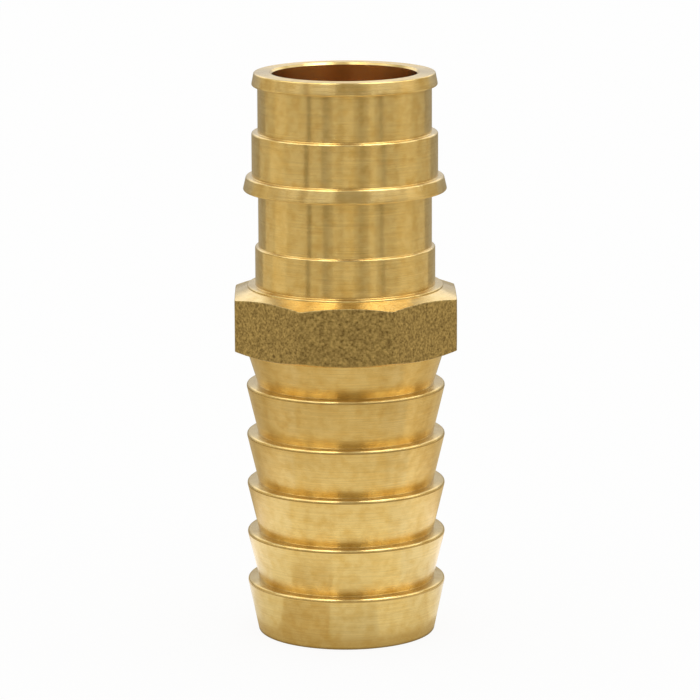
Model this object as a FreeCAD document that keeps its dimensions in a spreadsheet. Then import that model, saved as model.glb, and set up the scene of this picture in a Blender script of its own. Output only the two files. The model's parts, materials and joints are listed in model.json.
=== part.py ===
import FreeCAD, Part
import enum
import math
import os
import Sketcher

# A brass adapter between two plastic water pipes, forged and turned in one piece.
# The lower half is a barbed tail for a soft pipe held by a clamp.
# The upper half is a stepped insert for an expanded pipe and its ring.
# Between them sits an octagonal wrench collar, and a plain bore runs through.
# The origin is the centre of the tail's end face, and +Z runs up the bore.

# Driving sizes in millimetres, angles in degrees
SIZES = (
    ("bore_diameter", 20.6),
    ("mouth_chamfer", 0.3),
    # Barbed tail, from its end face up to the collar
    ("barb_diameter", 28.3),
    ("barb_depth", 1.58),
    ("barb_count", 5),
    ("barb_pitch", 7.13),
    ("nose_depth", 1.52),
    ("nose_length", 7.28),
    ("crest_land", 0.15),
    ("shoulder_angle", 6),
    ("root_bevel", 0.25),
    ("shank_length", 5.52),
    # Wrench collar
    ("across_flats", 31.4),
    ("collar_length", 8.71),
    ("corner_round", 1.0),
    ("face_inset", 0.475),
    ("face_rise", 0.4),
    ("face_bevel", 0.2),
    ("end_chamfer_angle", 20),
    # Insert, from the collar up to its lip
    ("insert_diameter", 26.4),
    ("foot_bevel", 0.25),
    ("lower_land_drop", 0.4),
    ("lower_land_length", 5.9),
    ("neck_depth", 0.875),
    ("lower_neck_length", 8.13),
    ("rib_height", 1.3),
    ("rib_taper", 0.48),
    ("rib_width", 1.96),
    ("upper_land_length", 6.19),
    ("upper_neck_length", 6.73),
    ("lip_taper", 0.375),
    ("lip_width", 1.9),
    ("edge_break", 0.15),
)

# The collar's flats, one of which faces the front, along -Y
FLAT_COUNT = 8
FLAT_ANGLE = 360 / FLAT_COUNT

# How far a cutting outline stands clear of the metal that it cuts
CUT_CLEARANCE = 1

# How near an edge must lie to a wanted radius and height to be that edge
EDGE_TOLERANCE = 0.001


class EdgePoint(enum.IntEnum):
    """The numbers by which a sketch knows the points of an edge."""

    START = enum.auto()
    END = enum.auto()
    CENTRE = enum.auto()


START, END, CENTRE = EdgePoint

# The sketch's own origin, which is the start of its first axis
ORIGIN = (-1, START)

# The expression of a place that lies on an axis
ON_AXIS = "0"

doc = FreeCAD.newDocument("insert_adapter")
sizes = doc.addObject("Spreadsheet::Sheet", "sizes")
for row, (alias, value) in enumerate(SIZES, start=1):
    sizes.set(f"A{row}", alias)
    sizes.set(f"B{row}", str(value))
    sizes.setAlias(f"B{row}", alias)
doc.recompute()

body = doc.addObject("PartDesign::Body", "adapter_body")
body.Label = "adapter_body"
body.Placement = FreeCAD.Placement()

# Radii of the tail: roots and nose lie below the crests, and the shank flares to crest size
BORE = "(sizes.bore_diameter / 2)"
CREST = "(sizes.barb_diameter / 2)"
ROOT = f"({CREST} - sizes.barb_depth)"
NOSE = f"({CREST} - sizes.nose_depth)"

# A barb starts inside the tail's wall, halfway between its root and the bore
BARB_INSIDE = f"(({ROOT} + {BORE}) / 2)"

# Radii of the insert, each measured from its upper land
UPPER_LAND = "(sizes.insert_diameter / 2)"
LOWER_LAND = f"({UPPER_LAND} - sizes.lower_land_drop)"
NECK = f"({UPPER_LAND} - sizes.neck_depth)"
RIB_LOWER = f"({UPPER_LAND} + sizes.rib_height)"
RIB_UPPER = f"({RIB_LOWER} - sizes.rib_taper)"
LIP_UPPER = f"({UPPER_LAND} - sizes.lip_taper)"

# Behind each crest a sloping shoulder runs in and up, and a bevel fills the root's corner
SHOULDER_FALL = "(sizes.barb_depth - sizes.root_bevel)"
SHOULDER_RISE = f"({SHOULDER_FALL} * tan(sizes.shoulder_angle * 1 deg))"
BARB_TOP = f"(sizes.crest_land + {SHOULDER_RISE} + sizes.root_bevel)"

# Heights, each worked out from the one below it
FIRST_CREST = "sizes.nose_length"
FIRST_ROOT = f"({FIRST_CREST} + {BARB_TOP})"
SECOND_CREST = f"({FIRST_CREST} + sizes.barb_pitch)"
LAST_CREST = f"({FIRST_CREST} + (sizes.barb_count - 1) * sizes.barb_pitch)"
LAST_ROOT = f"({LAST_CREST} + {BARB_TOP})"
COLLAR_BASE = f"({LAST_CREST} + sizes.shank_length)"
COLLAR_TOP = f"({COLLAR_BASE} + sizes.collar_length)"
LOWER_LAND_TOP = f"({COLLAR_TOP} + sizes.lower_land_length)"
RIB_BASE = f"({LOWER_LAND_TOP} + sizes.lower_neck_length)"
RIB_TOP = f"({RIB_BASE} + sizes.rib_width)"
UPPER_LAND_TOP = f"({RIB_TOP} + sizes.upper_land_length)"
LIP_BASE = f"({UPPER_LAND_TOP} + sizes.upper_neck_length)"
LIP_TOP = f"({LIP_BASE} + sizes.lip_width)"

# The chamfers at the collar's ends run from the face's rim to outside the corners
HALF_FLATS = "(sizes.across_flats / 2)"
FACE = f"({HALF_FLATS} - sizes.face_inset)"
FACE_FOOT = f"({COLLAR_TOP} - sizes.face_rise)"
OUTSIDE = f"({HALF_FLATS} / cos({FLAT_ANGLE / 2} deg) + {CUT_CLEARANCE})"
CHAMFER_DROP = f"(({OUTSIDE} - {FACE}) * tan(sizes.end_chamfer_angle * 1 deg))"


def number(expression):
    """What an expression comes to with the values in the sheet."""
    return float(sizes.evalExpression(expression))


def new_sketch(name, plane):
    """An empty sketch on one of the body's own origin planes."""
    roles = {feature.Role: feature for feature in body.Origin.OriginFeatures}
    sketch = body.newObject("Sketcher::SketchObject", name)
    sketch.AttachmentSupport = [(roles[plane], "")]
    sketch.MapMode = "FlatFace"
    return sketch


def relate(sketch, kind, *parts):
    """A rule of a sketch that holds no size."""
    sketch.addConstraint(Sketcher.Constraint(kind, *parts))


def measure(sketch, name, kind, expression, *parts):
    """A size of a sketch, bound to an expression."""
    index = sketch.addConstraint(Sketcher.Constraint(kind, *parts, number(expression)))
    sketch.renameConstraint(index, name)
    sketch.setExpression(f"Constraints.{name}", expression)


def set_across(sketch, name, point, across):
    """Fixes how far a point lies from the bore's axis."""
    if across == ON_AXIS:
        relate(sketch, "Vertical", *ORIGIN, *point)
    else:
        measure(sketch, f"{name}_radius", "DistanceX", across, *ORIGIN, *point)


def set_height(sketch, name, point, up):
    """Fixes how high a point lies above the tail's end face."""
    if up == ON_AXIS:
        relate(sketch, "Horizontal", *ORIGIN, *point)
    else:
        measure(sketch, f"{name}_height", "DistanceY", up, *ORIGIN, *point)


def draw_loop(sketch, spots):
    """Straight edges from each spot to the next, joined all the way round."""
    edges = [
        sketch.addGeometry(Part.LineSegment(spot, following))
        for spot, following in zip(spots, spots[1:] + spots[:1])
    ]
    for edge, following in zip(edges, edges[1:] + edges[:1]):
        relate(sketch, "Coincident", edge, END, following, START)
    return edges


def draw_outline(sketch, corners):
    """A closed outline of straight edges through corners given as (name, across, up)."""
    spots = [FreeCAD.Vector(number(across), number(up), 0) for _, across, up in corners]
    last_edge, last_across, last_up = None, None, None
    for edge, (name, across, up) in zip(draw_loop(sketch, spots), corners):
        point = (edge, START)
        if across == last_across:
            relate(sketch, "Vertical", last_edge)
        else:
            set_across(sketch, name, point, across)
        if up == last_up:
            relate(sketch, "Horizontal", last_edge)
        else:
            set_height(sketch, name, point, up)
        last_edge, last_across, last_up = edge, across, up


def draw_barb(sketch, inside, foot, foot_height, crest_height):
    """Half of a barb's section, from its foot out over the crest and in to the root."""
    land_top = f"({crest_height} + sizes.crest_land)"
    shoulder_top = f"({land_top} + {SHOULDER_RISE})"
    root_top = f"({crest_height} + {BARB_TOP})"
    draw_outline(
        sketch,
        [
            ("inside", inside, foot_height),
            ("foot", foot, foot_height),
            ("crest", CREST, crest_height),
            ("crest_land", CREST, land_top),
            ("shoulder", f"({ROOT} + sizes.root_bevel)", shoulder_top),
            ("root", ROOT, root_top),
            ("root_inside", inside, root_top),
        ],
    )


def add_feature(kind, name, **settings):
    """The body's next feature, which becomes its tip."""
    feature = body.newObject(kind, name)
    for setting, value in settings.items():
        setattr(feature, setting, value)
    body.Tip = feature
    return feature


def turn(kind, name, sketch):
    """A full turn of a sketch about the bore's axis, which adds or cuts."""
    return add_feature(kind, name, Profile=sketch, ReferenceAxis=(sketch, ["V_Axis"]), Angle=360)


def dress(kind, name, base, edges, setting, expression):
    """A fillet or chamfer on some edges of a feature."""
    feature = add_feature(kind, name, Base=(base, edges))
    feature.setExpression(setting, expression)
    doc.recompute()
    return feature


def upright_edges(feature):
    """Names of a feature's straight edges along Z."""
    up = FreeCAD.Vector(0, 0, 1)
    names = []
    for index, edge in enumerate(feature.Shape.Edges, start=1):
        ends = [vertex.Point for vertex in edge.Vertexes]
        if len(ends) == 2 and (ends[1] - ends[0]).cross(up).Length < EDGE_TOLERANCE:
            names.append(f"Edge{index}")
    return names


def ring_edges(feature, *rings):
    """Names of a feature's circular edges at rings given as (radius, height)."""
    names = []
    for across, up in rings:
        for index, edge in enumerate(feature.Shape.Edges, start=1):
            curve = edge.Curve
            if not isinstance(curve, Part.Circle):
                continue
            radius_gap = abs(curve.Radius - number(across))
            height_gap = abs(curve.Center.z - number(up))
            if max(radius_gap, height_gap) < EDGE_TOLERANCE:
                names.append(f"Edge{index}")
    return names


# Forged collar: a regular octagon with rounded corners
collar_section = new_sketch("collar_section", "XY_Plane")
collar_section.setExpression("AttachmentOffset.Base.z", COLLAR_BASE)
corner_reach = number(HALF_FLATS) / math.cos(math.radians(FLAT_ANGLE / 2))
corner_angles = [math.radians(-90 + FLAT_ANGLE * (i - 0.5)) for i in range(FLAT_COUNT)]
corners = [
    FreeCAD.Vector(corner_reach * math.cos(angle), corner_reach * math.sin(angle), 0)
    for angle in corner_angles
]
flats = draw_loop(collar_section, corners)
corner_circle = Part.Circle(FreeCAD.Vector(), FreeCAD.Vector(0, 0, 1), corner_reach)
guide = collar_section.addGeometry(corner_circle, True)
relate(collar_section, "Coincident", guide, CENTRE, *ORIGIN)
relate(collar_section, "Horizontal", flats[0])
for flat in flats:
    relate(collar_section, "PointOnObject", flat, START, guide)
for flat in flats[1:]:
    relate(collar_section, "Equal", flats[0], flat)
measure(collar_section, "half_flats", "DistanceY", HALF_FLATS, flats[0], START, *ORIGIN)

collar_forging = add_feature("PartDesign::Pad", "collar_forging", Profile=collar_section)
collar_forging.setExpression("Length", "sizes.collar_length")
doc.recompute()
collar_corners = dress(
    "PartDesign::Fillet",
    "collar_corners",
    collar_forging,
    upright_edges(collar_forging),
    "Radius",
    "sizes.corner_round",
)

# Both ends of the collar are turned: a raised round face above, and a chamfer at each end
collar_turning = new_sketch("collar_turning", "XZ_Plane")
draw_outline(
    collar_turning,
    [
        ("face_clear", FACE, f"({COLLAR_TOP} + {CUT_CLEARANCE})"),
        ("face_foot", FACE, FACE_FOOT),
        ("upper_chamfer", OUTSIDE, f"({FACE_FOOT} - {CHAMFER_DROP})"),
        ("upper_clear", OUTSIDE, f"({COLLAR_TOP} + {CUT_CLEARANCE})"),
    ],
)
draw_outline(
    collar_turning,
    [
        ("base_clear", FACE, f"({COLLAR_BASE} - {CUT_CLEARANCE})"),
        ("base_rim", FACE, COLLAR_BASE),
        ("lower_chamfer", OUTSIDE, f"({COLLAR_BASE} + {CHAMFER_DROP})"),
        ("lower_clear", OUTSIDE, f"({COLLAR_BASE} - {CUT_CLEARANCE})"),
    ],
)
turn("PartDesign::Groove", "collar_ends", collar_turning)

# Insert: two lands, two necks, a rib that stops the pipe's ring and a lip at the mouth
insert_section = new_sketch("insert_section", "XZ_Plane")
draw_outline(
    insert_section,
    [
        ("insert_foot", ON_AXIS, COLLAR_TOP),
        ("lower_land", LOWER_LAND, COLLAR_TOP),
        ("lower_land_top", LOWER_LAND, LOWER_LAND_TOP),
        ("lower_neck", NECK, LOWER_LAND_TOP),
        ("lower_neck_top", NECK, RIB_BASE),
        ("rib_lower", RIB_LOWER, RIB_BASE),
        ("rib_upper", RIB_UPPER, RIB_TOP),
        ("upper_land", UPPER_LAND, RIB_TOP),
        ("upper_land_top", UPPER_LAND, UPPER_LAND_TOP),
        ("upper_neck", NECK, UPPER_LAND_TOP),
        ("upper_neck_top", NECK, LIP_BASE),
        ("lip_lower", UPPER_LAND, LIP_BASE),
        ("lip_upper", LIP_UPPER, LIP_TOP),
        ("insert_top", ON_AXIS, LIP_TOP),
    ],
)
turn("PartDesign::Revolution", "insert_turning", insert_section)

# Tail: the core that carries the barbs, and the shank that flares to the collar
tail_section = new_sketch("tail_section", "XZ_Plane")
draw_outline(
    tail_section,
    [
        ("core_centre", ON_AXIS, FIRST_CREST),
        ("core", ROOT, FIRST_CREST),
        ("shank_foot", ROOT, LAST_ROOT),
        ("shank", CREST, COLLAR_BASE),
        ("shank_centre", ON_AXIS, COLLAR_BASE),
    ],
)
turn("PartDesign::Revolution", "tail_turning", tail_section)

# The nose is the lowest barb: its flank is longer and runs down to the end face
nose_section = new_sketch("nose_section", "XZ_Plane")
draw_barb(nose_section, ON_AXIS, NOSE, ON_AXIS, FIRST_CREST)
turn("PartDesign::Revolution", "nose_barb", nose_section)

barb_section = new_sketch("barb_section", "XZ_Plane")
draw_barb(barb_section, BARB_INSIDE, ROOT, FIRST_ROOT, SECOND_CREST)
barb = turn("PartDesign::Revolution", "barb", barb_section)
doc.recompute()
barb_row = add_feature(
    "PartDesign::LinearPattern",
    "barb_row",
    Originals=[barb],
    Direction=(barb_section, ["V_Axis"]),
)
barb_row.setExpression("Occurrences", "sizes.barb_count - 1")
barb_row.setExpression("Length", "(sizes.barb_count - 2) * sizes.barb_pitch")

# Bore, straight through from the tail's end face
bore_section = new_sketch("bore_section", "XY_Plane")
bore_circle = Part.Circle(FreeCAD.Vector(), FreeCAD.Vector(0, 0, 1), number(BORE))
bore_edge = bore_section.addGeometry(bore_circle)
relate(bore_section, "Coincident", bore_edge, CENTRE, *ORIGIN)
measure(bore_section, "bore", "Diameter", "sizes.bore_diameter", bore_edge)
waterway = add_feature(
    "PartDesign::Pocket",
    "waterway",
    Profile=bore_section,
    Type="ThroughAll",
    Reversed=True,
)
doc.recompute()

# Deburred mouths, and a broken edge wherever a land, the rib, the lip or the nose ends
mouths = dress(
    "PartDesign::Chamfer",
    "mouths",
    waterway,
    ring_edges(waterway, (BORE, ON_AXIS), (BORE, LIP_TOP)),
    "Size",
    "sizes.mouth_chamfer",
)
broken_edges = dress(
    "PartDesign::Chamfer",
    "broken_edges",
    mouths,
    ring_edges(
        mouths,
        (NOSE, ON_AXIS),
        (LOWER_LAND, LOWER_LAND_TOP),
        (RIB_LOWER, RIB_BASE),
        (UPPER_LAND, UPPER_LAND_TOP),
        (UPPER_LAND, LIP_BASE),
        (LIP_UPPER, LIP_TOP),
    ),
    "Size",
    "sizes.edge_break",
)

# The collar's turned face has a bevelled rim, and a bevel where the insert rises from it
face_rim = dress(
    "PartDesign::Chamfer",
    "face_rim",
    broken_edges,
    ring_edges(broken_edges, (FACE, COLLAR_TOP)),
    "Size",
    "sizes.face_bevel",
)
insert_root = dress(
    "PartDesign::Chamfer",
    "insert_root",
    face_rim,
    ring_edges(face_rim, (LOWER_LAND, COLLAR_TOP)),
    "Size",
    "sizes.foot_bevel",
)

for item in doc.Objects:
    if "Invalid" in item.State or "Error" in item.State:
        raise RuntimeError(f"{item.Name} did not build: {item.State}")
if body.Shape.isNull() or not body.Shape.isValid():
    raise RuntimeError(f"{body.Label} has no valid shape")
if len(body.Shape.Solids) != 1:
    raise RuntimeError(f"{body.Label} is not one solid")

os.makedirs("parts", exist_ok=True)
body.Shape.exportStep(f"parts/{body.Label}.step")
box = body.Shape.optimalBoundingBox(False)
print(f"{body.Label}: {box.XLength:.2f} x {box.YLength:.2f} x {box.ZLength:.2f} mm")
print(f"volume {body.Shape.Volume:.1f} cubic mm")
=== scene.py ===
import json
import math

import bmesh
import bpy
from mathutils import Euler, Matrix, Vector, noise


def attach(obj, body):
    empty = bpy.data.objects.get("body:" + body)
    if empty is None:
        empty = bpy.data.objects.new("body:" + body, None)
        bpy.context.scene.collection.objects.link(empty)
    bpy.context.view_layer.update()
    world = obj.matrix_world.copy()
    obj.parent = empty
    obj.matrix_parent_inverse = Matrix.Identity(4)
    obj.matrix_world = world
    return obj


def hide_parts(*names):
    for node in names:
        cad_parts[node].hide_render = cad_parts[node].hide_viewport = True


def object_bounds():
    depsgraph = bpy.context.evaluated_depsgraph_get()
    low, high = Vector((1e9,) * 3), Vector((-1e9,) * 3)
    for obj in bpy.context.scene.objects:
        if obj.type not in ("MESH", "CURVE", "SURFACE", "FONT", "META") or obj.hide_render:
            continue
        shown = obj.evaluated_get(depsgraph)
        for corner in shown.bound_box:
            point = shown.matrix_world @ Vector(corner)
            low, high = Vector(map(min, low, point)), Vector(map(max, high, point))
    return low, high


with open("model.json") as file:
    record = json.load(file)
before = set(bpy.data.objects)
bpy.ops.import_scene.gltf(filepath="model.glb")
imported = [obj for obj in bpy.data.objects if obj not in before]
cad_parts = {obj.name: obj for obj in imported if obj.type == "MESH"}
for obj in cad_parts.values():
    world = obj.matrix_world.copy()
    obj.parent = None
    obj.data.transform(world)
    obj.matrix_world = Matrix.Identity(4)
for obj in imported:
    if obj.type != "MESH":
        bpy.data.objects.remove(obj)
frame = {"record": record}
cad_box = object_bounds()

# A brass adapter between two plastic water pipes: a barbed tail, an octagonal wrench collar
# and a stepped insert, forged and turned in one piece, with a plain bore right through.

bl_info = {
    "name": "Brass Insert Adapter",
    "version": (1, 0, 0),
    "blender": (4, 5, 0),
    "location": "3D View > Sidebar > Adapter",
    "description": "Models a barbed brass pipe adapter and the studio that it stands in",
    "category": "Add Mesh",
}

MM = 0.001

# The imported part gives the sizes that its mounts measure
MOUNTS = {mount["name"]: mount for mount in frame["record"]["mounts"]}
BORE_RADIUS = MOUNTS["waterway"]["dims"]["r_mm"]
INSERT_RADIUS = MOUNTS["pex_insert"]["dims"]["r_mm"]
ACROSS_FLATS = (cad_box[1].y - cad_box[0].y) / MM
COLLAR_TOP = MOUNTS["pipe_stop"]["pos_m"][2] / MM
OVERALL_HEIGHT = cad_box[1].z / MM

# The collar's height up to the face that its mount measures, and how far the narrow ring that
# stops the pipe stands above that face
COLLAR_HEIGHT = 8.71
RING_LIFT = 0.5

# Mesh density: steps round the axis, the turn of one facet of a rounded edge, and the sharpest
# edge that still shades as smooth
SPIN_STEPS = 240
ROUND_FACET = math.radians(20)
SHARP_ANGLE = math.radians(35)

# Vertices nearer than this are one vertex
MERGE_DISTANCE = 0.001 * MM

# The collar's flats, the facets of each rounded corner between two flats, how far the collar's
# blank stands out past the corners before the flats are cut, and how far a face may lean from
# a flat that it is part of
FLAT_COUNT = 8
FLAT_ANGLE = 2 * math.pi / FLAT_COUNT
CORNER_FACETS = 6
BLANK_MARGIN = 0.5 * MM
FLAT_LEAN = math.radians(5)

# The hollows of the forged skin are layers of noise: how fast the layers fade, how much finer
# each is than the one before, and how many there are
HOLLOW_FADE = 0.6
HOLLOW_STEP = 2.0
HOLLOW_LAYERS = 3

# How far in from a crest's radius its narrow land reaches
CREST_MARGIN = 0.01 * MM

# Order of the finishes in the piece's material slots
TURNED, FORGED, BORED, CREST_LAND = range(4)

# How much longer the streaks that a tool leaves are than they are wide
STREAK_LENGTH = 60

# A quarter of a turn, which spreads the shine across the tool's lines and not along them
ACROSS_LINES = 0.25

# The values of the noise between which each pattern goes from none to full: the tool's
# streaks, the tarnished patches and the grains of the forged skin
STREAK_RANGE = (0.3, 0.7)
TARNISH_RANGE = (0.4, 0.75)
GRAIN_RANGE = (0.28, 0.76)

# What the turned brass's colour is multiplied by in its darkest and its brightest streaks
SHINE_RANGE = (0.93, 1.07)

# Where the aimed point shows in the photograph's square frame, in pixels
IMAGE_WIDTH = 700
AIM_PIXEL = (345.5, 325)

# The turn of one facet of a studio card, in degrees
CARD_FACET = 5


def linear(hex_colour):
    """An sRGB hex colour as linear red, green, blue and alpha."""
    channels = [int(hex_colour[i : i + 2], 16) / 255 for i in (1, 3, 5)]
    curve = [c / 12.92 if c <= 0.04045 else ((c + 0.055) / 1.055) ** 2.4 for c in channels]
    return (*curve, 1.0)


def length(name, description, millimetres):
    """A length property, given in millimetres and kept in metres."""
    return bpy.props.FloatProperty(
        name=name,
        description=description,
        default=millimetres * MM,
        unit="LENGTH",
        precision=5,
    )


def angle(name, description, degrees):
    """An angle property, given in degrees and kept in radians."""
    return bpy.props.FloatProperty(
        name=name, description=description, default=math.radians(degrees), subtype="ANGLE"
    )


def factor(name, description, value):
    """A property between zero and one."""
    return bpy.props.FloatProperty(
        name=name, description=description, default=value, min=0, max=1, subtype="FACTOR"
    )


def colour(name, description, hex_colour):
    """A colour property, given as an sRGB hex value."""
    return bpy.props.FloatVectorProperty(
        name=name,
        description=description,
        default=linear(hex_colour),
        size=4,
        min=0,
        max=1,
        subtype="COLOR",
    )


class TailSizes(bpy.types.PropertyGroup):
    """The barbed tail, from its end face up to the collar."""

    barb_diameter: length("Barb diameter", "Across the crests", 28.3)
    barb_depth: length("Barb depth", "From a crest in to its root", 1.58)
    barb_count: bpy.props.IntProperty(name="Barbs", description="Number of barbs", default=5, min=1)
    barb_pitch: length("Barb pitch", "From one crest to the next", 7.13)
    nose_depth: length("Nose depth", "From a crest in to the nose's end", 1.52)
    nose_length: length("Nose length", "From the end face to the first crest", 7.28)
    crest_height: length("Crest height", "Height of each crest with its rounded edge", 0.46)
    crest_round: length("Crest round", "Radius of a crest's upper edge", 0.34)
    crest_edge: length("Crest edge", "Radius of a crest's lower edge", 0.05)
    root_round: length("Root round", "Radius in the corner behind each crest", 0.04)
    shoulder_angle: angle("Shoulder angle", "Slope of the shoulder behind each crest", 2)


class CollarSizes(bpy.types.PropertyGroup):
    """The octagonal wrench collar."""

    across_flats: length("Across flats", "Between opposite flats", ACROSS_FLATS)
    top_height: length("Top height", "Height of the ring that stops the pipe", COLLAR_TOP + RING_LIFT)
    base_height: length("Base height", "Height of the lower end", COLLAR_TOP - COLLAR_HEIGHT)
    corner_round: length("Corner round", "Radius between two flats", 1.0)
    stop_inset: length("Stop inset", "From a flat in to the rim of that ring", 1.75)
    stop_rise: length("Stop rise", "Height of that ring above the chamfer", 0.25)
    stop_round: length("Stop round", "Radius of that ring's rim", 0.15)
    foot_round: length("Foot round", "Radius where the insert rises from the ring", 0.06)
    base_inset: length("Base inset", "From a flat in to the rim of the lower end", 0.475)
    top_slope: angle("Top slope", "Slope of the upper chamfer", 19)
    base_slope: angle("Base slope", "Slope of the lower chamfer", 20)
    edge_softness: length("Edge softness", "Width of the worn edge round the flats", 0.08)
    skin_grid: length("Skin grid", "Width of a mesh square on the forged flats", 0.6)
    skin_height: length("Skin height", "Height of the rows of those squares", COLLAR_HEIGHT)
    skin_wave: length("Skin wave", "Width of the forged skin's hollows", 2.6)
    skin_depth: length("Skin depth", "Depth of the forged skin's hollows", 0.03)


class InsertSizes(bpy.types.PropertyGroup):
    """The stepped insert, from the collar up to its lip, and the bore."""

    bore_diameter: length("Bore diameter", "Inside diameter from end to end", 2 * BORE_RADIUS)
    mouth_chamfer: length("Mouth chamfer", "Width of the chamfer at both mouths", 0.3)
    diameter: length("Diameter", "Across the upper land and the lip", 2 * INSERT_RADIUS)
    height: length("Overall height", "Height of the lip above the tail's end", OVERALL_HEIGHT)
    lower_land_drop: length("Lower land drop", "From the upper land's radius in to the lower", 0.4)
    lower_land_length: length("Lower land length", "From the collar up to the lower neck", 5.57)
    neck_depth: length("Neck depth", "From the upper land's radius in to the necks", 0.875)
    lower_neck_length: length("Lower neck length", "From the lower land up to the rib", 7.96)
    rib_height: length("Rib height", "From the upper land's radius out to the rib", 1.3)
    rib_taper: length("Rib taper", "How far the rib narrows towards its top", 0.48)
    rib_width: length("Rib width", "Height of the rib", 2.05)
    upper_land_length: length("Upper land length", "From the rib up to the upper neck", 6.25)
    lip_taper: length("Lip taper", "How far the lip narrows towards its top", 0.375)
    lip_width: length("Lip width", "Height of the lip", 1.9)
    edge_round: length("Edge round", "Radius of the edges of lands, rib, lip and nose", 0.28)
    corner_round: length("Corner round", "Radius left by the tool in the inner corners", 0.08)
    lip_round: length("Lip round", "Radius of the lip's upper edge", 0.22)


class Finishes(bpy.types.PropertyGroup):
    """The colours and the grain of the four finishes of the brass."""

    turned_colour: colour("Turned colour", "Bare brass where the tool has cut", "#E4C989")
    tarnish_colour: colour("Tarnish colour", "Faintly tarnished patches", "#D8B66C")
    turned_roughness: factor("Turned roughness", "Roughness of the cut surfaces", 0.24)
    turned_grain: factor("Turned grain", "How much the tool lines stretch the shine", 0.95)
    # The real tool lines are too fine to show in the render, so they are drawn as coarse as one
    # of its pixels, which is 0.14 mm on the adapter
    line_spacing: length("Line spacing", "Between the tool's finest lines", 0.14)
    line_depth: length("Line depth", "Depth of those lines", 0.003)
    bored_depth: length("Bored depth", "Depth of the coarser lines inside the bore", 0.006)
    patch_width: length("Patch width", "Width of the tarnished patches", 1.5)
    forged_colour: colour("Forged colour", "High spots of the forged skin", "#DABF7D")
    scale_colour: colour("Scale colour", "Hollows of the forged skin", "#6B5733")
    forged_roughness: factor("Forged roughness", "Roughness of the forged skin", 0.5)
    grit_width: length("Grit width", "Width of the forged skin's grains", 0.36)
    grit_depth: length("Grit depth", "Depth of the forged skin's grains", 0.045)
    crest_land_colour: colour("Crest land colour", "Dull brass on the crests of the barbs", "#BC9C5E")
    crest_land_roughness: factor("Crest land roughness", "Roughness of the crests", 0.4)
    # Darker and more orange than the turned colour: painted shade, the deep tone of the bore where
    # little light reaches
    bored_and_shaded_colour: colour("Bored and shaded colour", "Bare brass inside the bore", "#D29B5A")
    bored_roughness: factor("Bored roughness", "Roughness of the bore", 0.2)


class StudioSettings(bpy.types.PropertyGroup):
    """The camera, the floor and the light."""

    distance: length("Distance", "From the camera to the point it looks at", 579)
    aim_height: length("Aim height", "Height on the bore's axis of that point", 44.48)
    azimuth: angle("Azimuth", "Turn of the camera round the part", -0.5)
    elevation: angle("Elevation", "Camera's height as an angle", 10.87)
    roll: angle("Roll", "Tilt of the camera about its own line of sight", -0.23)
    focal_length: bpy.props.FloatProperty(
        name="Focal length",
        description="For a sensor 36 mm wide",
        default=208.8,
        subtype="DISTANCE_CAMERA",
    )
    floor_width: length("Floor width", "Side of the square floor", 6000)
    floor_colour: colour("Floor colour", "White paper under and behind the part", "#F4F4F2")
    paper_glow: factor("Paper glow", "Share of plain white that the camera sees on the floor", 0.9)
    paper_glow_mirrored: factor("Mirrored glow", "Share of plain white that the metal mirrors", 1.0)


# Modelling


def round_corner(bm, vert, radius):
    """Rounds a corner of a profile by a radius."""
    sides = [edge.other_vert(vert).co - vert.co for edge in vert.link_edges]
    turn = math.pi - sides[0].angle(sides[1])
    bmesh.ops.bevel(
        bm,
        geom=[vert],
        offset=radius * math.tan(turn / 2),
        offset_type="OFFSET",
        segments=max(2, round(turn / ROUND_FACET)),
        profile=0.5,
        affect="VERTICES",
        material=-1,
    )


def turn_profile(bm, corners):
    """Turns a chain of corners, given as (radius, height, round), once about the bore's axis."""
    verts = [bm.verts.new((radius, 0, height)) for radius, height, _ in corners]
    for vert, following in zip(verts, verts[1:]):
        bm.edges.new((vert, following))
    for vert, (_, _, rounding) in zip(verts, corners):
        if rounding:
            round_corner(bm, vert, rounding)
    chain = [edge for edge in bm.edges if edge.is_wire]
    points = {vert for edge in chain for vert in edge.verts}
    bmesh.ops.spin(
        bm,
        geom=chain + list(points),
        cent=(0, 0, 0),
        axis=(0, 0, 1),
        angle=2 * math.pi,
        steps=SPIN_STEPS,
        use_merge=True,
        use_duplicate=False,
    )


def stop_radius(collar):
    """Radius of the ring that stops the pipe."""
    return collar.across_flats / 2 - collar.stop_inset


def base_radius(collar):
    """Radius where the lower chamfer meets the collar's lower end."""
    return collar.across_flats / 2 - collar.base_inset


def collar_blank_corners(collar):
    """The collar's side before its flats are cut: a disc with a chamfer at each end."""
    stop, rim = stop_radius(collar), base_radius(collar)
    outside = collar.across_flats / 2 / math.cos(FLAT_ANGLE / 2) + BLANK_MARGIN
    top = collar.top_height - collar.stop_rise
    upper_drop = (outside - stop) * math.tan(collar.top_slope)
    lower_drop = (outside - rim) * math.tan(collar.base_slope)
    return [
        (stop, top, 0),
        (outside, top - upper_drop, 0),
        (outside, collar.base_height + lower_drop, 0),
        (rim, collar.base_height, 0),
    ]


def tail_corners(tail, collar, insert):
    """The tail's outside, from the collar's base down over the barbs to the end face."""
    crest = tail.barb_diameter / 2
    root = crest - tail.barb_depth
    shoulder_rise = tail.barb_depth * math.tan(tail.shoulder_angle)
    corners = [(crest, collar.base_height, insert.corner_round)]
    for barb in reversed(range(tail.barb_count)):
        height = tail.nose_length + barb * tail.barb_pitch
        land_top = height + tail.crest_height
        corners.append((root, land_top + shoulder_rise, tail.root_round))
        corners.append((crest, land_top, tail.crest_round))
        corners.append((crest, height, tail.crest_edge))
    corners.append((crest - tail.nose_depth, 0, insert.edge_round))
    return corners


def bore_corners(insert):
    """The bore and its two chamfered mouths, from the tail's end face up to the lip."""
    bore = insert.bore_diameter / 2
    chamfer = insert.mouth_chamfer
    return [
        (bore + chamfer, 0, 0),
        (bore, chamfer, 0),
        (bore, insert.height - chamfer, 0),
        (bore + chamfer, insert.height, 0),
    ]


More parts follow.
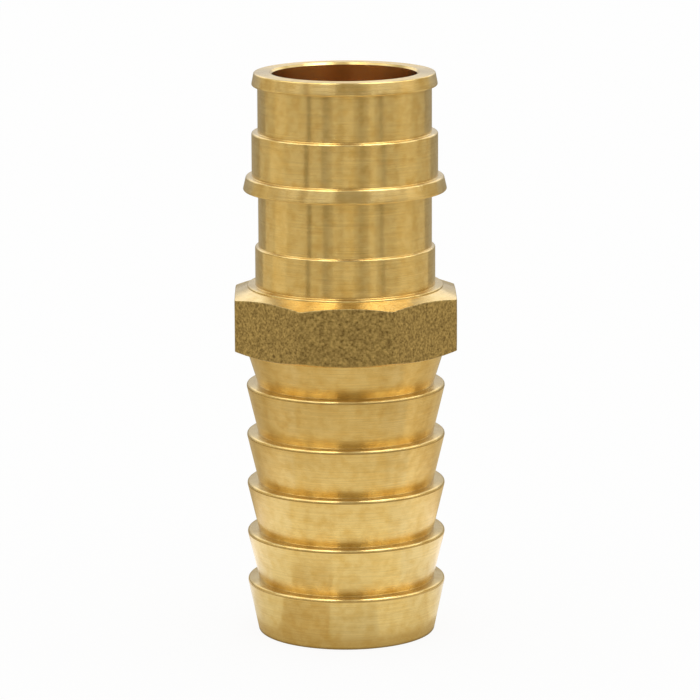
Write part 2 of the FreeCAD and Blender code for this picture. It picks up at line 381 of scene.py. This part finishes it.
def insert_corners(insert, collar):
    """The insert's outside, from the lip down over the lands and the rib to the collar's face."""
    edge, corner = insert.edge_round, insert.corner_round
    land = insert.diameter / 2
    lower_land = land - insert.lower_land_drop
    neck = land - insert.neck_depth
    rib = land + insert.rib_height
    foot = collar.top_height
    lower_land_top = foot + insert.lower_land_length
    rib_base = lower_land_top + insert.lower_neck_length
    rib_top = rib_base + insert.rib_width
    upper_land_top = rib_top + insert.upper_land_length
    lip_base = insert.height - insert.lip_width
    return [
        (land - insert.lip_taper, insert.height, insert.lip_round),
        (land, lip_base, edge),
        (neck, lip_base, corner),
        (neck, upper_land_top, corner),
        (land, upper_land_top, edge),
        (land, rib_top, corner),
        (rib - insert.rib_taper, rib_top, edge),
        (rib, rib_base, edge),
        (neck, rib_base, corner),
        (neck, lower_land_top, corner),
        (lower_land, lower_land_top, edge),
        (lower_land, foot, collar.foot_round),
    ]


def stop_corners(collar):
    """The ring that stops the pipe, from its rim down to the upper chamfer."""
    stop, top = stop_radius(collar), collar.top_height
    return [(stop, top, collar.stop_round), (stop, top - collar.stop_rise, 0)]


def turned_corners(tail, collar, insert):
    """Everything turned but the collar's side, from its base round the tail, bore and insert."""
    return (
        [(base_radius(collar), collar.base_height, 0)]
        + tail_corners(tail, collar, insert)
        + bore_corners(insert)
        + insert_corners(insert, collar)
        + stop_corners(collar)
    )


def cut_flat(bm, turn, distance):
    """Cuts off what lies past an upright plane and closes the cut with forged skin."""
    outwards = Vector((math.cos(turn), math.sin(turn), 0))
    cut = bmesh.ops.bisect_plane(
        bm,
        geom=bm.verts[:] + bm.edges[:] + bm.faces[:],
        dist=MERGE_DISTANCE,
        plane_co=outwards * distance,
        plane_no=outwards,
        clear_outer=True,
    )
    rim = [item for item in cut["geom_cut"] if isinstance(item, bmesh.types.BMEdge)]
    bmesh.ops.edgeloop_fill(bm, edges=rim, mat_nr=FORGED)


def cut_octagon(bm, collar):
    """Cuts the blank to eight flats, then rounds the corners between them facet by facet."""
    half_flats = collar.across_flats / 2
    corner_centre = (half_flats - collar.corner_round) / math.cos(FLAT_ANGLE / 2)
    for flat in range(FLAT_COUNT):
        cut_flat(bm, flat * FLAT_ANGLE, half_flats)
    for flat in range(FLAT_COUNT):
        for facet in range(1, CORNER_FACETS):
            lean = FLAT_ANGLE * (facet / CORNER_FACETS - 0.5)
            distance = corner_centre * math.cos(lean) + collar.corner_round
            cut_flat(bm, (flat + 0.5) * FLAT_ANGLE + lean, distance)


def soften_flat_edges(bm, collar):
    """Wears down the edge between each forged flat and the turned chamfers."""
    edges = [
        edge
        for edge in bm.edges
        if {face.material_index for face in edge.link_faces} == {TURNED, FORGED}
    ]
    bmesh.ops.bevel(
        bm,
        geom=edges,
        offset=collar.edge_softness,
        offset_type="OFFSET",
        segments=2,
        profile=0.5,
        affect="EDGES",
        material=FORGED,
        clamp_overlap=True,
    )


def slice_faces(bm, faces, point, direction):
    """Adds an edge across faces where a plane meets them."""
    edges = {edge for face in faces for edge in face.edges}
    verts = {vert for face in faces for vert in face.verts}
    bmesh.ops.bisect_plane(
        bm,
        geom=list(verts) + list(edges) + faces,
        dist=MERGE_DISTANCE,
        plane_co=point,
        plane_no=direction,
    )


def grid_flats(bm, collar):
    """Divides the forged flats into squares small enough to carry the skin's hollows."""
    rows = round(collar.skin_height / collar.skin_grid)
    for row in range(1, rows):
        forged = [face for face in bm.faces if face.material_index == FORGED]
        height = collar.base_height + row * collar.skin_height / rows
        slice_faces(bm, forged, Vector((0, 0, height)), Vector((0, 0, 1)))
    side = collar.across_flats * math.tan(FLAT_ANGLE / 2)
    columns = round(side / collar.skin_grid)
    for flat in range(FLAT_COUNT):
        outwards = Vector((math.cos(flat * FLAT_ANGLE), math.sin(flat * FLAT_ANGLE), 0))
        along = outwards.cross(Vector((0, 0, 1)))
        for column in range(1, columns):
            facing = [
                face
                for face in bm.faces
                if face.material_index == FORGED
                and face.normal.dot(outwards) > math.cos(FLAT_LEAN)
            ]
            slice_faces(bm, facing, along * side * (column / columns - 0.5), along)


def sink_forged_skin(bm, collar):
    """Gives the forged skin its shallow hollows."""
    skin = {vert for face in bm.faces if face.material_index == FORGED for vert in face.verts}
    for vert in skin:
        outwards = Vector((vert.co.x, vert.co.y, 0)).normalized()
        place = vert.co / collar.skin_wave
        depth = 0.5 + 0.5 * noise.fractal(place, HOLLOW_FADE, HOLLOW_STEP, HOLLOW_LAYERS)
        vert.co -= outwards * collar.skin_depth * depth


def mark_bore(bm, insert):
    """Gives the bore's wall its own finish: coarser tool lines, and a colour darkened with painted
    shade.
    """
    inside = insert.bore_diameter / 2 + MERGE_DISTANCE
    for face in bm.faces:
        if all(vert.co.xy.length < inside for vert in face.verts):
            face.material_index = BORED


def mark_crests(bm, tail):
    """Gives the narrow land on each crest its own finish, a darker and duller brass."""
    inside = tail.barb_diameter / 2 - CREST_MARGIN
    top = tail.nose_length + (tail.barb_count - 0.5) * tail.barb_pitch
    for face in bm.faces:
        if all(vert.co.z < top and vert.co.xy.length > inside for vert in face.verts):
            face.material_index = CREST_LAND


def shade(bm):
    """Shades the mesh smoothly, apart from its sharp edges."""
    for face in bm.faces:
        face.smooth = True
    for edge in bm.edges:
        edge.smooth = edge.calc_face_angle(0) < SHARP_ANGLE


# Materials


def add_node(tree, kind, sockets=None, **settings):
    """Adds a node, sets its settings, and gives its sockets values or links."""
    node = tree.nodes.new(kind)
    for name, value in settings.items():
        setattr(node, name, value)
    for socket, value in (sockets or {}).items():
        if isinstance(value, bpy.types.NodeSocket):
            tree.links.new(value, node.inputs[socket])
        else:
            node.inputs[socket].default_value = value
    return node


def new_material(name):
    """An empty material and its node tree."""
    material = bpy.data.materials.new(name)
    material.use_nodes = True
    material.node_tree.nodes.clear()
    return material, material.node_tree


def turned_coordinates(tree, spacing):
    """Object position, noise in streaks round the axis, and the direction of the streaks."""
    place = add_node(tree, "ShaderNodeTexCoord").outputs["Object"]
    flat = add_node(tree, "ShaderNodeVectorMath", {0: place, 1: (1, 1, 0)}, operation="MULTIPLY")
    radius = add_node(tree, "ShaderNodeVectorMath", {0: flat.outputs[0]}, operation="LENGTH")
    height = add_node(tree, "ShaderNodeSeparateXYZ", {0: place})
    along = add_node(
        tree,
        "ShaderNodeMath",
        {0: radius.outputs["Value"], 1: height.outputs["Z"]},
        operation="ADD",
    )
    across = add_node(tree, "ShaderNodeCombineXYZ", {"Z": along.outputs[0]})
    long_way = add_node(
        tree,
        "ShaderNodeVectorMath",
        {0: place, 1: (1 / STREAK_LENGTH, 1 / STREAK_LENGTH, 0)},
        operation="MULTIPLY",
    )
    drawn_out = add_node(
        tree,
        "ShaderNodeVectorMath",
        {0: long_way.outputs[0], 1: across.outputs[0]},
        operation="ADD",
    )
    turning = add_node(
        tree, "ShaderNodeVectorMath", {0: (0, 0, 1), 1: place}, operation="CROSS_PRODUCT"
    )
    around = add_node(
        tree, "ShaderNodeVectorMath", {0: turning.outputs[0]}, operation="NORMALIZE"
    )
    streaks = add_node(
        tree,
        "ShaderNodeTexNoise",
        {"Vector": drawn_out.outputs[0], "Scale": 1 / spacing, "Detail": 2.0, "Roughness": 0.6},
    )
    return place, streaks.outputs[0], around.outputs[0]


def tooled_surface(tree, finishes, streaks, around, tint, roughness, depth):
    """Ends a material of brass that a tool has cut: raised lines, and a shine drawn across them."""
    lines = add_node(
        tree, "ShaderNodeBump", {"Height": streaks, "Strength": 1.0, "Distance": depth}
    )
    surface = add_node(
        tree,
        "ShaderNodeBsdfPrincipled",
        {
            "Base Color": tint,
            "Metallic": 1.0,
            "Roughness": roughness,
            "Anisotropic": finishes.turned_grain,
            "Anisotropic Rotation": ACROSS_LINES,
            "Normal": lines.outputs[0],
            "Tangent": around,
        },
    )
    add_node(tree, "ShaderNodeOutputMaterial", {"Surface": surface.outputs[0]})


def turned_brass(finishes):
    """Free-cutting brass, turned on a lathe and left bare."""
    # To the eye: satin rings of fine lines, which draw each light out along the axis into soft
    # upright stripes, and faint patches where the brass has begun to tarnish
    material, tree = new_material("turned brass")
    place, streaks, around = turned_coordinates(tree, finishes.line_spacing)
    patches = add_node(
        tree,
        "ShaderNodeTexNoise",
        {"Vector": place, "Scale": 1 / finishes.patch_width, "Detail": 4.0, "Roughness": 0.55},
    )
    tarnish = add_node(
        tree,
        "ShaderNodeMapRange",
        {
            "Value": patches.outputs[0],
            "From Min": TARNISH_RANGE[0],
            "From Max": TARNISH_RANGE[1],
        },
    )
    tint = add_node(
        tree,
        "ShaderNodeMix",
        {
            0: tarnish.outputs[0],
            6: tuple(finishes.turned_colour),
            7: tuple(finishes.tarnish_colour),
        },
        data_type="RGBA",
    )
    shine = add_node(
        tree,
        "ShaderNodeMapRange",
        {
            "Value": streaks,
            "From Min": STREAK_RANGE[0],
            "From Max": STREAK_RANGE[1],
            "To Min": SHINE_RANGE[0],
            "To Max": SHINE_RANGE[1],
        },
    )
    streaked = add_node(
        tree,
        "ShaderNodeVectorMath",
        {0: tint.outputs[2], "Scale": shine.outputs[0]},
        operation="SCALE",
    )
    tooled_surface(
        tree,
        finishes,
        streaks,
        around,
        streaked.outputs[0],
        finishes.turned_roughness,
        finishes.line_depth,
    )
    return material


def bored_brass(finishes):
    """Brass bored out by a coarser tool than the outside was turned with, its colour darkened with
    painted shade.
    """
    # To the eye: a deep orange brown, because light only reaches it off more brass, and because its
    # colour holds painted shade, darker and more orange than the turned brass
    material, tree = new_material("bored brass")
    _, streaks, around = turned_coordinates(tree, finishes.line_spacing)
    tooled_surface(
        tree,
        finishes,
        streaks,
        around,
        tuple(finishes.bored_and_shaded_colour),
        finishes.bored_roughness,
        finishes.bored_depth,
    )
    return material


def forged_brass(finishes):
    """Brass as it left the forging die, blasted and then left alone."""
    # To the eye: a dull olive skin of grit, pale on its grains and dark between them, with no
    # clear reflection
    material, tree = new_material("forged brass")
    place = add_node(tree, "ShaderNodeTexCoord").outputs["Object"]
    grit = add_node(
        tree,
        "ShaderNodeTexNoise",
        {"Vector": place, "Scale": 1 / finishes.grit_width, "Detail": 3.0, "Roughness": 0.65},
    )
    grains = add_node(
        tree,
        "ShaderNodeMapRange",
        {"Value": grit.outputs[0], "From Min": GRAIN_RANGE[0], "From Max": GRAIN_RANGE[1]},
    )
    tint = add_node(
        tree,
        "ShaderNodeMix",
        {
            0: grains.outputs[0],
            6: tuple(finishes.scale_colour),
            7: tuple(finishes.forged_colour),
        },
        data_type="RGBA",
    )
    relief = add_node(
        tree,
        "ShaderNodeBump",
        {"Height": grit.outputs[0], "Strength": 1.0, "Distance": finishes.grit_depth},
    )
    surface = add_node(
        tree,
        "ShaderNodeBsdfPrincipled",
        {
            "Base Color": tint.outputs[2],
            "Metallic": 1.0,
            "Roughness": finishes.forged_roughness,
            "Normal": relief.outputs[0],
        },
    )
    add_node(tree, "ShaderNodeOutputMaterial", {"Surface": surface.outputs[0]})
    return material


def crest_land_brass(finishes):
    """Darker, duller brass on the narrow land of each crest."""
    # To the eye: a thin dull line under each crest's bright edge
    material, tree = new_material("crest land brass")
    surface = add_node(
        tree,
        "ShaderNodeBsdfPrincipled",
        {
            "Base Color": tuple(finishes.crest_land_colour),
            "Metallic": 1.0,
            "Roughness": finishes.crest_land_roughness,
        },
    )
    add_node(tree, "ShaderNodeOutputMaterial", {"Surface": surface.outputs[0]})
    return material


class ADAPTER_OT_fitting(bpy.types.Operator):
    """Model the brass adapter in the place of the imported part"""

    bl_idname = "adapter.fitting"
    bl_label = "Adapter"

    def execute(self, context):
        settings = context.scene.brass_adapter
        tail, collar, insert = settings.tail, settings.collar, settings.insert
        bm = bmesh.new()
        turn_profile(bm, collar_blank_corners(collar))
        cut_octagon(bm, collar)
        soften_flat_edges(bm, collar)
        turn_profile(bm, turned_corners(tail, collar, insert))
        bmesh.ops.remove_doubles(bm, verts=bm.verts, dist=MERGE_DISTANCE)
        bmesh.ops.recalc_face_normals(bm, faces=bm.faces)
        grid_flats(bm, collar)
        sink_forged_skin(bm, collar)
        mark_bore(bm, insert)
        mark_crests(bm, tail)
        shade(bm)
        mesh = bpy.data.meshes.new("brass_adapter")
        bm.to_mesh(mesh)
        bm.free()
        for material in (
            turned_brass(settings.finishes),
            forged_brass(settings.finishes),
            bored_brass(settings.finishes),
            crest_land_brass(settings.finishes),
        ):
            mesh.materials.append(material)
        piece = bpy.data.objects.new("brass_adapter", mesh)
        context.scene.collection.objects.link(piece)
        normals = piece.modifiers.new("Even shading", "WEIGHTED_NORMAL")
        normals.keep_sharp = True
        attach(piece, "root")
        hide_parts("adapter_body")
        return {"FINISHED"}


# Studio

# Sectors of light round the part: start and end in degrees, where zero faces the camera and
# the right is positive, and the share of the ring's level. The narrow ones give the bright and
# dark stripes that the round walls mirror.
ALL_ROUND = ((-180, 180, 1.0),)
BEHIND = ((130, 230, 1.0),)
# The foot sectors dim the rings round the foot, most in front and to the left: painted shadow that
# the metal mirrors.
FOOT_LEFT = ((-60, -36, 0.62), (-36, -14.5, 0.64))
FOOT_RIGHT = ((-120, -60, 0.84), (-14.5, 25, 0.73), (25, 83, 0.9), (83, 140, 0.98))
NEAR_PAPER = ((-92, -40, 0.9), (-40, 45, 1.0), (45, 58, 1.06))
MID_PAPER = ((-66, -45, 1.02), (-45, 35, 1.0), (35, 48, 1.07))
FAR_PAPER = ((-64, -48, 1.08), (-48, 55, 1.0), (55, 64, 1.1))
BESIDE = ((-112, -56, 0.9), (42, 110, 1.0))
SIDES = ((-180, -66, 1.0), (50, 180, 1.0))
NEAR_TABLE = ((-180, -76, 1.12), (-76, 76, 1.0), (76, 180, 1.35))
FRONT = (
    (-130, -105, 0.92),
    (-105, -82, 1.16),
    (-82, -51, 0.98),
    (-51, -45, 0.42),
    (-45, -29.5, 0.96),
    (-29.5, -21.5, 0.56),
    (-21.5, -16, 0.72),
    (-16, -8, 1.06),
    (-8, -2, 0.98),
    (-2, 11, 1.2),
    (11, 17, 0.9),
    (17, 24, 0.66),
    (24, 30, 0.8),
    (30, 39, 1.12),
    (39, 45, 0.8),
    (45, 51, 0.52),
    (51, 68, 0.86),
    (68, 98, 1.0),
    (98, 130, 0.88),
)
BAND = (
    (-130, -95, 0.7),
    (-95, -58, 0.5),
    (-58, -40, 0.43),
    (-40, -24, 0.26),
    (-24, -8, 0.31),
    (-8, 24, 0.36),
    (24, 56, 0.3),
    (56, 74, 0.44),
    (74, 96, 0.78),
    (96, 130, 0.68),
)
GLOW = (
    (-130, -105, 0.7),
    (-105, -62, 2.0),
    (-62, -48, 1.1),
    (-48, -12, 2.8),
    (-12, 22, 0.72),
    (22, 30, 1.4),
    (30, 50, 3.0),
    (50, 60, 2.8),
    (60, 110, 3.0),
    (110, 130, 0.8),
)
UPPER = (
    (-180, -125, 0.6),
    (-125, -105, 1.0),
    (-105, -30, 2.2),
    (-30, -17, 1.6),
    (-17, 22, 0.45),
    (22, 40, 0.9),
    (40, 110, 1.1),
    (110, 180, 0.9),
)
HIGH = (
    (-180, -125, 0.6),
    (-125, -66, 1.2),
    (-66, -56, 2.6),
    (-56, -17, 5.2),
    (-17, -8, 2.0),
    (-8, 14, 1.0),
    (14, 32, 1.3),
    (32, 40, 2.4),
    (40, 120, 5.5),
    (120, 180, 0.9),
)

# Colours of the cards
PAPER = "#FFFAE8"
TABLE = "#FFECC1"
WARM = "#FFF3D4"
WHITE = "#FFFFFF"

# Radii in millimetres: of the near part of the table and of the room's round wall
NEAR = 150
ROOM = 450

# Rings of cards that only reflections show: name, profile as a chain of radii and heights in
# millimetres, colour, level of light, and sectors. Those on the table lie up to 0.5 mm above
# the floor, and where two overlap the higher one shows.
RINGS = (
    # The first four rings, from under the edge out to 26 mm, are dimmer than the paper beyond them:
    # painted shadow, the floor's shade round the foot as the metal mirrors it, darkest under the edge
    # and lighter outwards.
    ("under", [(12.0, 0.01), (12.6, 0.01), (13, 0.05)], TABLE, 0.28, ALL_ROUND),
    ("contact", [(13, 0.05), (15, 0.3)], TABLE, 0.56, ALL_ROUND),
    ("foot_left", [(15, 0.3), (26, 0.3)], TABLE, 1.0, FOOT_LEFT),
    ("foot_right", [(15, 0.3), (23, 0.3)], PAPER, 1.0, FOOT_RIGHT),
    ("paper_side", [(34, 0.2), (48, 0.2)], WHITE, 1.27, SIDES),
    ("paper_near", [(23, 0.25), (31, 0.25)], PAPER, 1.05, NEAR_PAPER),
    ("paper_mid", [(31, 0.3), (40, 0.3)], PAPER, 1.16, MID_PAPER),
    ("paper_far", [(40, 0.3), (44, 0.3)], PAPER, 1.2, FAR_PAPER),
    ("table_edge", [(44, 0.3), (58, 0.3)], TABLE, 0.76, FAR_PAPER),
    ("table_side", [(49, 0.25), (58, 0.25)], TABLE, 0.86, NEAR_TABLE),
    ("table_near", [(58, 0.3), (NEAR, 0.5)], TABLE, 0.52, NEAR_TABLE),
    ("table", [(NEAR, 0.5), (ROOM, 0.5)], WARM, 0.97, FRONT),
    ("horizon", [(ROOM, 0.5), (ROOM, 90)], WARM, 0.43, FRONT),
    ("band", [(ROOM, 90), (ROOM, 300)], TABLE, 1.0, BAND),
    ("glow_low", [(ROOM - 1, 262), (ROOM - 1, 300)], WHITE, 2.4, BESIDE),
    ("glow", [(ROOM, 300), (ROOM, 420)], WHITE, 1.0, GLOW),
    ("upper", [(ROOM, 420), (360, 480), (290, 520)], WHITE, 1.0, UPPER),
    ("high", [(290, 520), (120, 585)], WHITE, 1.0, HIGH),
    ("ceiling", [(120, 590), (0.5, 600)], WARM, 0.8, ALL_ROUND),
    ("back_table", [(NEAR, 0.5), (ROOM, 0.5)], WARM, 0.44, BEHIND),
    ("back_horizon", [(ROOM, 0.5), (ROOM, 80)], WARM, 0.36, BEHIND),
    ("back_low", [(ROOM, 80), (ROOM, 160)], WHITE, 0.66, BEHIND),
    ("back_mid", [(ROOM, 160), (ROOM, 190)], WHITE, 0.85, BEHIND),
    ("back_high", [(ROOM, 190), (ROOM, 390)], WHITE, 1.35, BEHIND),
)


def add_camera(context, studio):
    """A long lens, a little above the part and turned to its front flat."""
    data = bpy.data.cameras.new("camera")
    data.lens = studio.focal_length
    camera = bpy.data.objects.new("camera", data)
    context.scene.collection.objects.link(camera)
    back = Vector(
        (
            math.sin(studio.azimuth) * math.cos(studio.elevation),
            -math.cos(studio.azimuth) * math.cos(studio.elevation),
            math.sin(studio.elevation),
        )
    )
    camera.location = Vector((0, 0, studio.aim_height)) + back * studio.distance
    pixels_per_radian = IMAGE_WIDTH * data.lens / data.sensor_width
    right = (AIM_PIXEL[0] - IMAGE_WIDTH / 2) / pixels_per_radian
    down = (AIM_PIXEL[1] - IMAGE_WIDTH / 2) / pixels_per_radian
    look = (-back).to_track_quat("-Z", "Y").to_matrix()
    offset = Euler((down, right, studio.roll)).to_matrix()
    camera.rotation_euler = (look @ offset).to_euler()
    context.scene.camera = camera


def white_light(world):
    """A white surround, for the camera and for reflections alike."""
    world.use_nodes = True
    tree = world.node_tree
    tree.nodes.clear()
    surround = add_node(tree, "ShaderNodeBackground", {"Color": (1, 1, 1, 1), "Strength": 1.0})
    add_node(tree, "ShaderNodeOutputWorld", {"Surface": surround.outputs[0]})


def stage_piece(context, name, bm, material):
    """Adds a mesh to the studio, apart from the part."""
    mesh = bpy.data.meshes.new(name)
    bm.to_mesh(mesh)
    bm.free()
    mesh.materials.append(material)
    piece = bpy.data.objects.new(name, mesh)
    context.scene.collection.objects.link(piece)
    return piece


def white_paper(studio):
    """Matt white paper, under and behind the adapter."""
    # To the eye: plain white with a faint shadow, because the paper glows where the camera or
    # the metal looks at it, and is lit and shaded as matt paper everywhere else
    material, tree = new_material("white paper")
    path = add_node(tree, "ShaderNodeLightPath")
    mirrored = add_node(
        tree,
        "ShaderNodeMath",
        {0: path.outputs["Is Glossy Ray"], 1: path.outputs["Is Transmission Ray"]},
        operation="MAXIMUM",
    )
    glow_mirrored = add_node(
        tree,
        "ShaderNodeMath",
        {0: mirrored.outputs[0], 1: studio.paper_glow_mirrored},
        operation="MULTIPLY",
    )
    glow_seen = add_node(
        tree,
        "ShaderNodeMath",
        {0: path.outputs["Is Camera Ray"], 1: studio.paper_glow},
        operation="MULTIPLY",
    )
    share = add_node(
        tree,
        "ShaderNodeMath",
        {0: glow_seen.outputs[0], 1: glow_mirrored.outputs[0]},
        operation="ADD",
    )
    matt = add_node(tree, "ShaderNodeBsdfDiffuse", {"Color": tuple(studio.floor_colour)})
    glow = add_node(tree, "ShaderNodeEmission", {"Color": (1, 1, 1, 1), "Strength": 1.0})
    paper = add_node(
        tree,
        "ShaderNodeMixShader",
        {0: share.outputs[0], 1: matt.outputs[0], 2: glow.outputs[0]},
    )
    add_node(tree, "ShaderNodeOutputMaterial", {"Surface": paper.outputs[0]})
    return material


def lit_card(name, shade, level):
    """A card that shines evenly in one colour."""
    material, tree = new_material(name)
    glow = add_node(tree, "ShaderNodeEmission", {"Color": linear(shade), "Strength": level})
    add_node(tree, "ShaderNodeOutputMaterial", {"Surface": glow.outputs[0]})
    return material


def add_card(context, name, start, end, profile, shade, level):
    """A card curved round the bore's axis, which only reflections show.

    It runs from one azimuth to another in degrees, where zero faces the camera and the right
    is positive. Its profile is a chain of points, each a radius and a height in millimetres.
    """
    turn = math.radians(start)
    bm = bmesh.new()
    chain = [
        bm.verts.new(Vector((math.sin(turn) * radius, -math.cos(turn) * radius, height)) * MM)
        for radius, height in profile
    ]
    edges = [bm.edges.new(pair) for pair in zip(chain, chain[1:])]
    bmesh.ops.spin(
        bm,
        geom=chain + edges,
        cent=(0, 0, 0),
        axis=(0, 0, 1),
        angle=math.radians(end - start),
        steps=max(2, round((end - start) / CARD_FACET)),
    )
    card = stage_piece(context, name, bm, lit_card(name, shade, level))
    card.visible_camera = False
    card.visible_diffuse = False
    card.visible_shadow = False
    card.visible_transmission = False


class ADAPTER_OT_studio(bpy.types.Operator):
    """Set up the camera, the floor and the light"""

    bl_idname = "adapter.studio"
    bl_label = "Studio"

    def execute(self, context):
        studio = context.scene.brass_adapter.studio
        add_camera(context, studio)
        world = bpy.data.worlds.new("studio")
        context.scene.world = world
        white_light(world)
        floor = bmesh.new()
        bmesh.ops.create_grid(floor, x_segments=1, y_segments=1, size=studio.floor_width / 2)
        stage_piece(context, "floor", floor, white_paper(studio))
        for name, profile, shade, level, sectors in RINGS:
            for start, end, share in sectors:
                add_card(context, f"{name}_{start}", start, end, profile, shade, level * share)
        context.scene.view_settings.view_transform = "Standard"
        return {"FINISHED"}


class AdapterSettings(bpy.types.PropertyGroup):
    """Everything that can be changed about the adapter and its studio."""

    tail: bpy.props.PointerProperty(type=TailSizes)
    collar: bpy.props.PointerProperty(type=CollarSizes)
    insert: bpy.props.PointerProperty(type=InsertSizes)
    finishes: bpy.props.PointerProperty(type=Finishes)
    studio: bpy.props.PointerProperty(type=StudioSettings)


class ADAPTER_PT_sidebar(bpy.types.Panel):
    """The adapter's operators and settings in the sidebar"""

    bl_label = "Brass Insert Adapter"
    bl_space_type = "VIEW_3D"
    bl_region_type = "UI"
    bl_category = "Adapter"

    def draw(self, context):
        self.layout.operator(ADAPTER_OT_fitting.bl_idname)
        self.layout.operator(ADAPTER_OT_studio.bl_idname)


CLASSES = (
    TailSizes,
    CollarSizes,
    InsertSizes,
    Finishes,
    StudioSettings,
    AdapterSettings,
    ADAPTER_OT_fitting,
    ADAPTER_OT_studio,
    ADAPTER_PT_sidebar,
)


def register():
    """Registers the classes and gives the scene its settings."""
    for cls in CLASSES:
        bpy.utils.register_class(cls)
    bpy.types.Scene.brass_adapter = bpy.props.PointerProperty(type=AdapterSettings)


def unregister():
    """Takes the settings and the classes away again."""
    del bpy.types.Scene.brass_adapter
    for cls in reversed(CLASSES):
        bpy.utils.unregister_class(cls)


def main():
    """Models the adapter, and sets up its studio."""
    register()
    bpy.ops.adapter.fitting()
    bpy.ops.adapter.studio()


if __name__ == "__main__":
    main()
